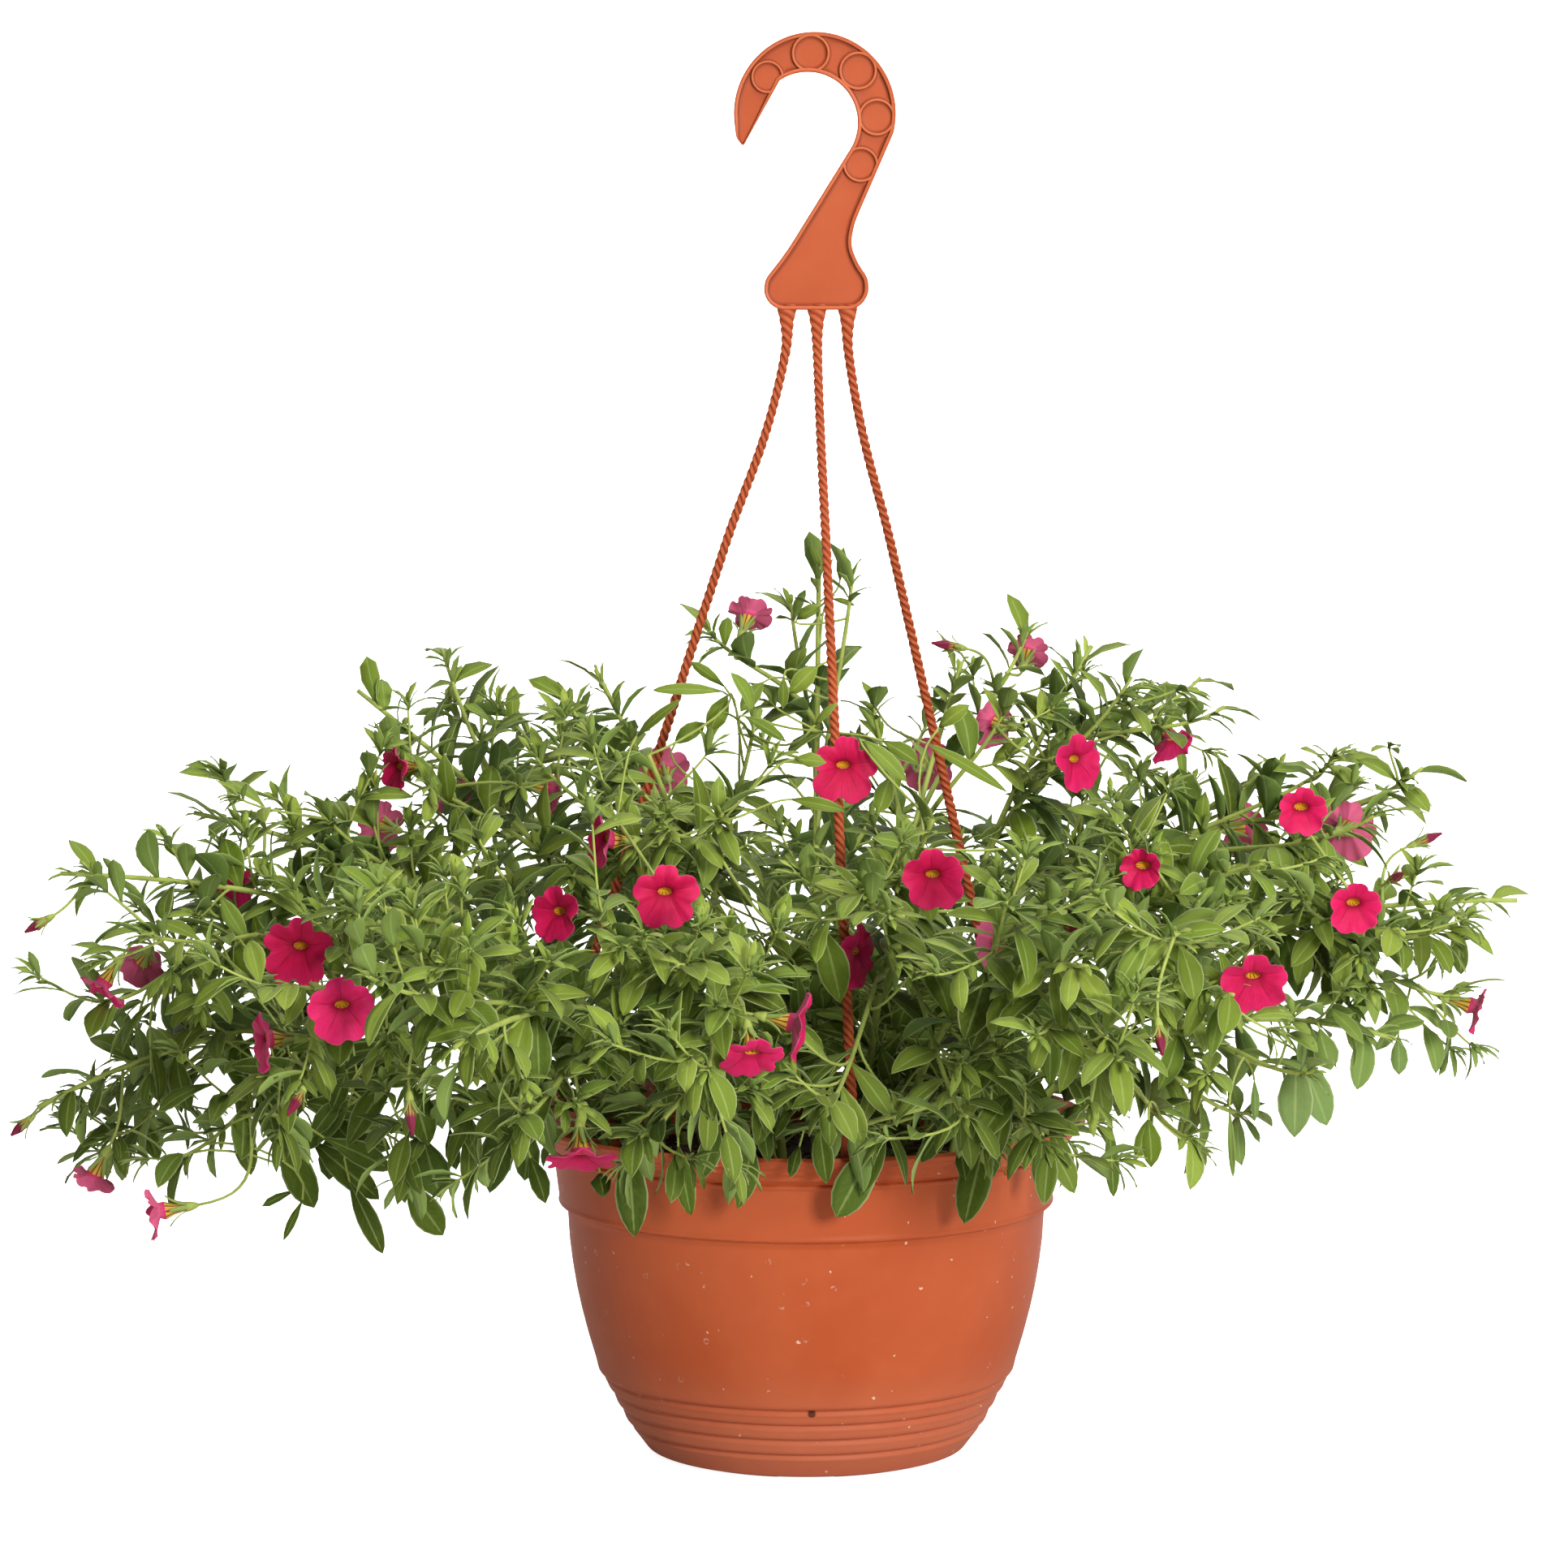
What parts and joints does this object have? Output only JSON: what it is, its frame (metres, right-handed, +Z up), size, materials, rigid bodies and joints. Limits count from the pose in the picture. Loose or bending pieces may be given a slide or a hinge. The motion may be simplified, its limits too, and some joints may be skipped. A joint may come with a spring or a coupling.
{
  "type": "hanging flower basket",
  "caption": "Flowering calibrachoa in a terracotta-coloured plastic pot that hangs from a hook on moulded strands.",
  "frame": {"origin": "centre of the pot's base, on the plane that the pot stands on", "axes": "+Z up along the pot's axis; the front of the basket, with the plain side of the hook plate, looks along -Y; +X is to the right seen from the front"},
  "size_m": [0.6781, 0.6195, 0.6284],
  "materials": {
    "pot": "satin moulded polypropylene, terracotta colour",
    "hanger": "satin moulded polypropylene, a lighter terracotta colour",
    "soil": "dark moist peat, rough",
    "stems_and_leaves": "matt green with fine hairs",
    "petals": "velvety magenta with a gold throat"
  },
  "bodies": {
    "root": {"pot": "pot", "hanger": "hanger", "soil": "soil", "stem_01": "stems_and_leaves", "stem_02": "stems_and_leaves", "stem_03": "stems_and_leaves", "stem_04": "stems_and_leaves", "stem_05": "stems_and_leaves", "stem_06": "stems_and_leaves", "stem_07": "stems_and_leaves", "stem_08": "stems_and_leaves", "stem_09": "stems_and_leaves", "stem_10": "stems_and_leaves", "stem_11": "stems_and_leaves", "stem_12": "stems_and_leaves", "stem_13": "stems_and_leaves", "stem_14": "stems_and_leaves", "stem_15": "stems_and_leaves", "stem_16": "stems_and_leaves", "stem_17": "stems_and_leaves", "stem_18": "stems_and_leaves", "stem_19": "stems_and_leaves", "stem_20": "stems_and_leaves", "stem_21": "stems_and_leaves", "bloom_01": "petals", "bloom_02": "petals", "bloom_03": "petals", "bloom_04": "petals", "bloom_05": "petals", "bloom_06": "petals", "bloom_07": "petals", "bloom_08": "petals", "bloom_09": "petals", "bloom_10": "petals", "bloom_11": "petals", "bloom_12": "petals", "bloom_13": "petals", "bloom_14": "petals", "bloom_15": "petals", "bloom_16": "petals", "bloom_17": "petals", "bloom_18": "petals", "bloom_19": "petals", "bloom_20": "petals", "bloom_21": "petals", "bloom_22": "petals", "bloom_23": "petals", "bloom_24": "petals", "bloom_25": "petals", "bloom_26": "petals", "bloom_27": "petals", "bloom_28": "petals", "bloom_29": "petals", "bloom_30": "petals", "bloom_31": "petals", "bloom_32": "petals", "bloom_33": "petals", "bloom_34": "petals", "bloom_35": "petals", "bloom_36": "petals"}
  },
  "joints": []
}
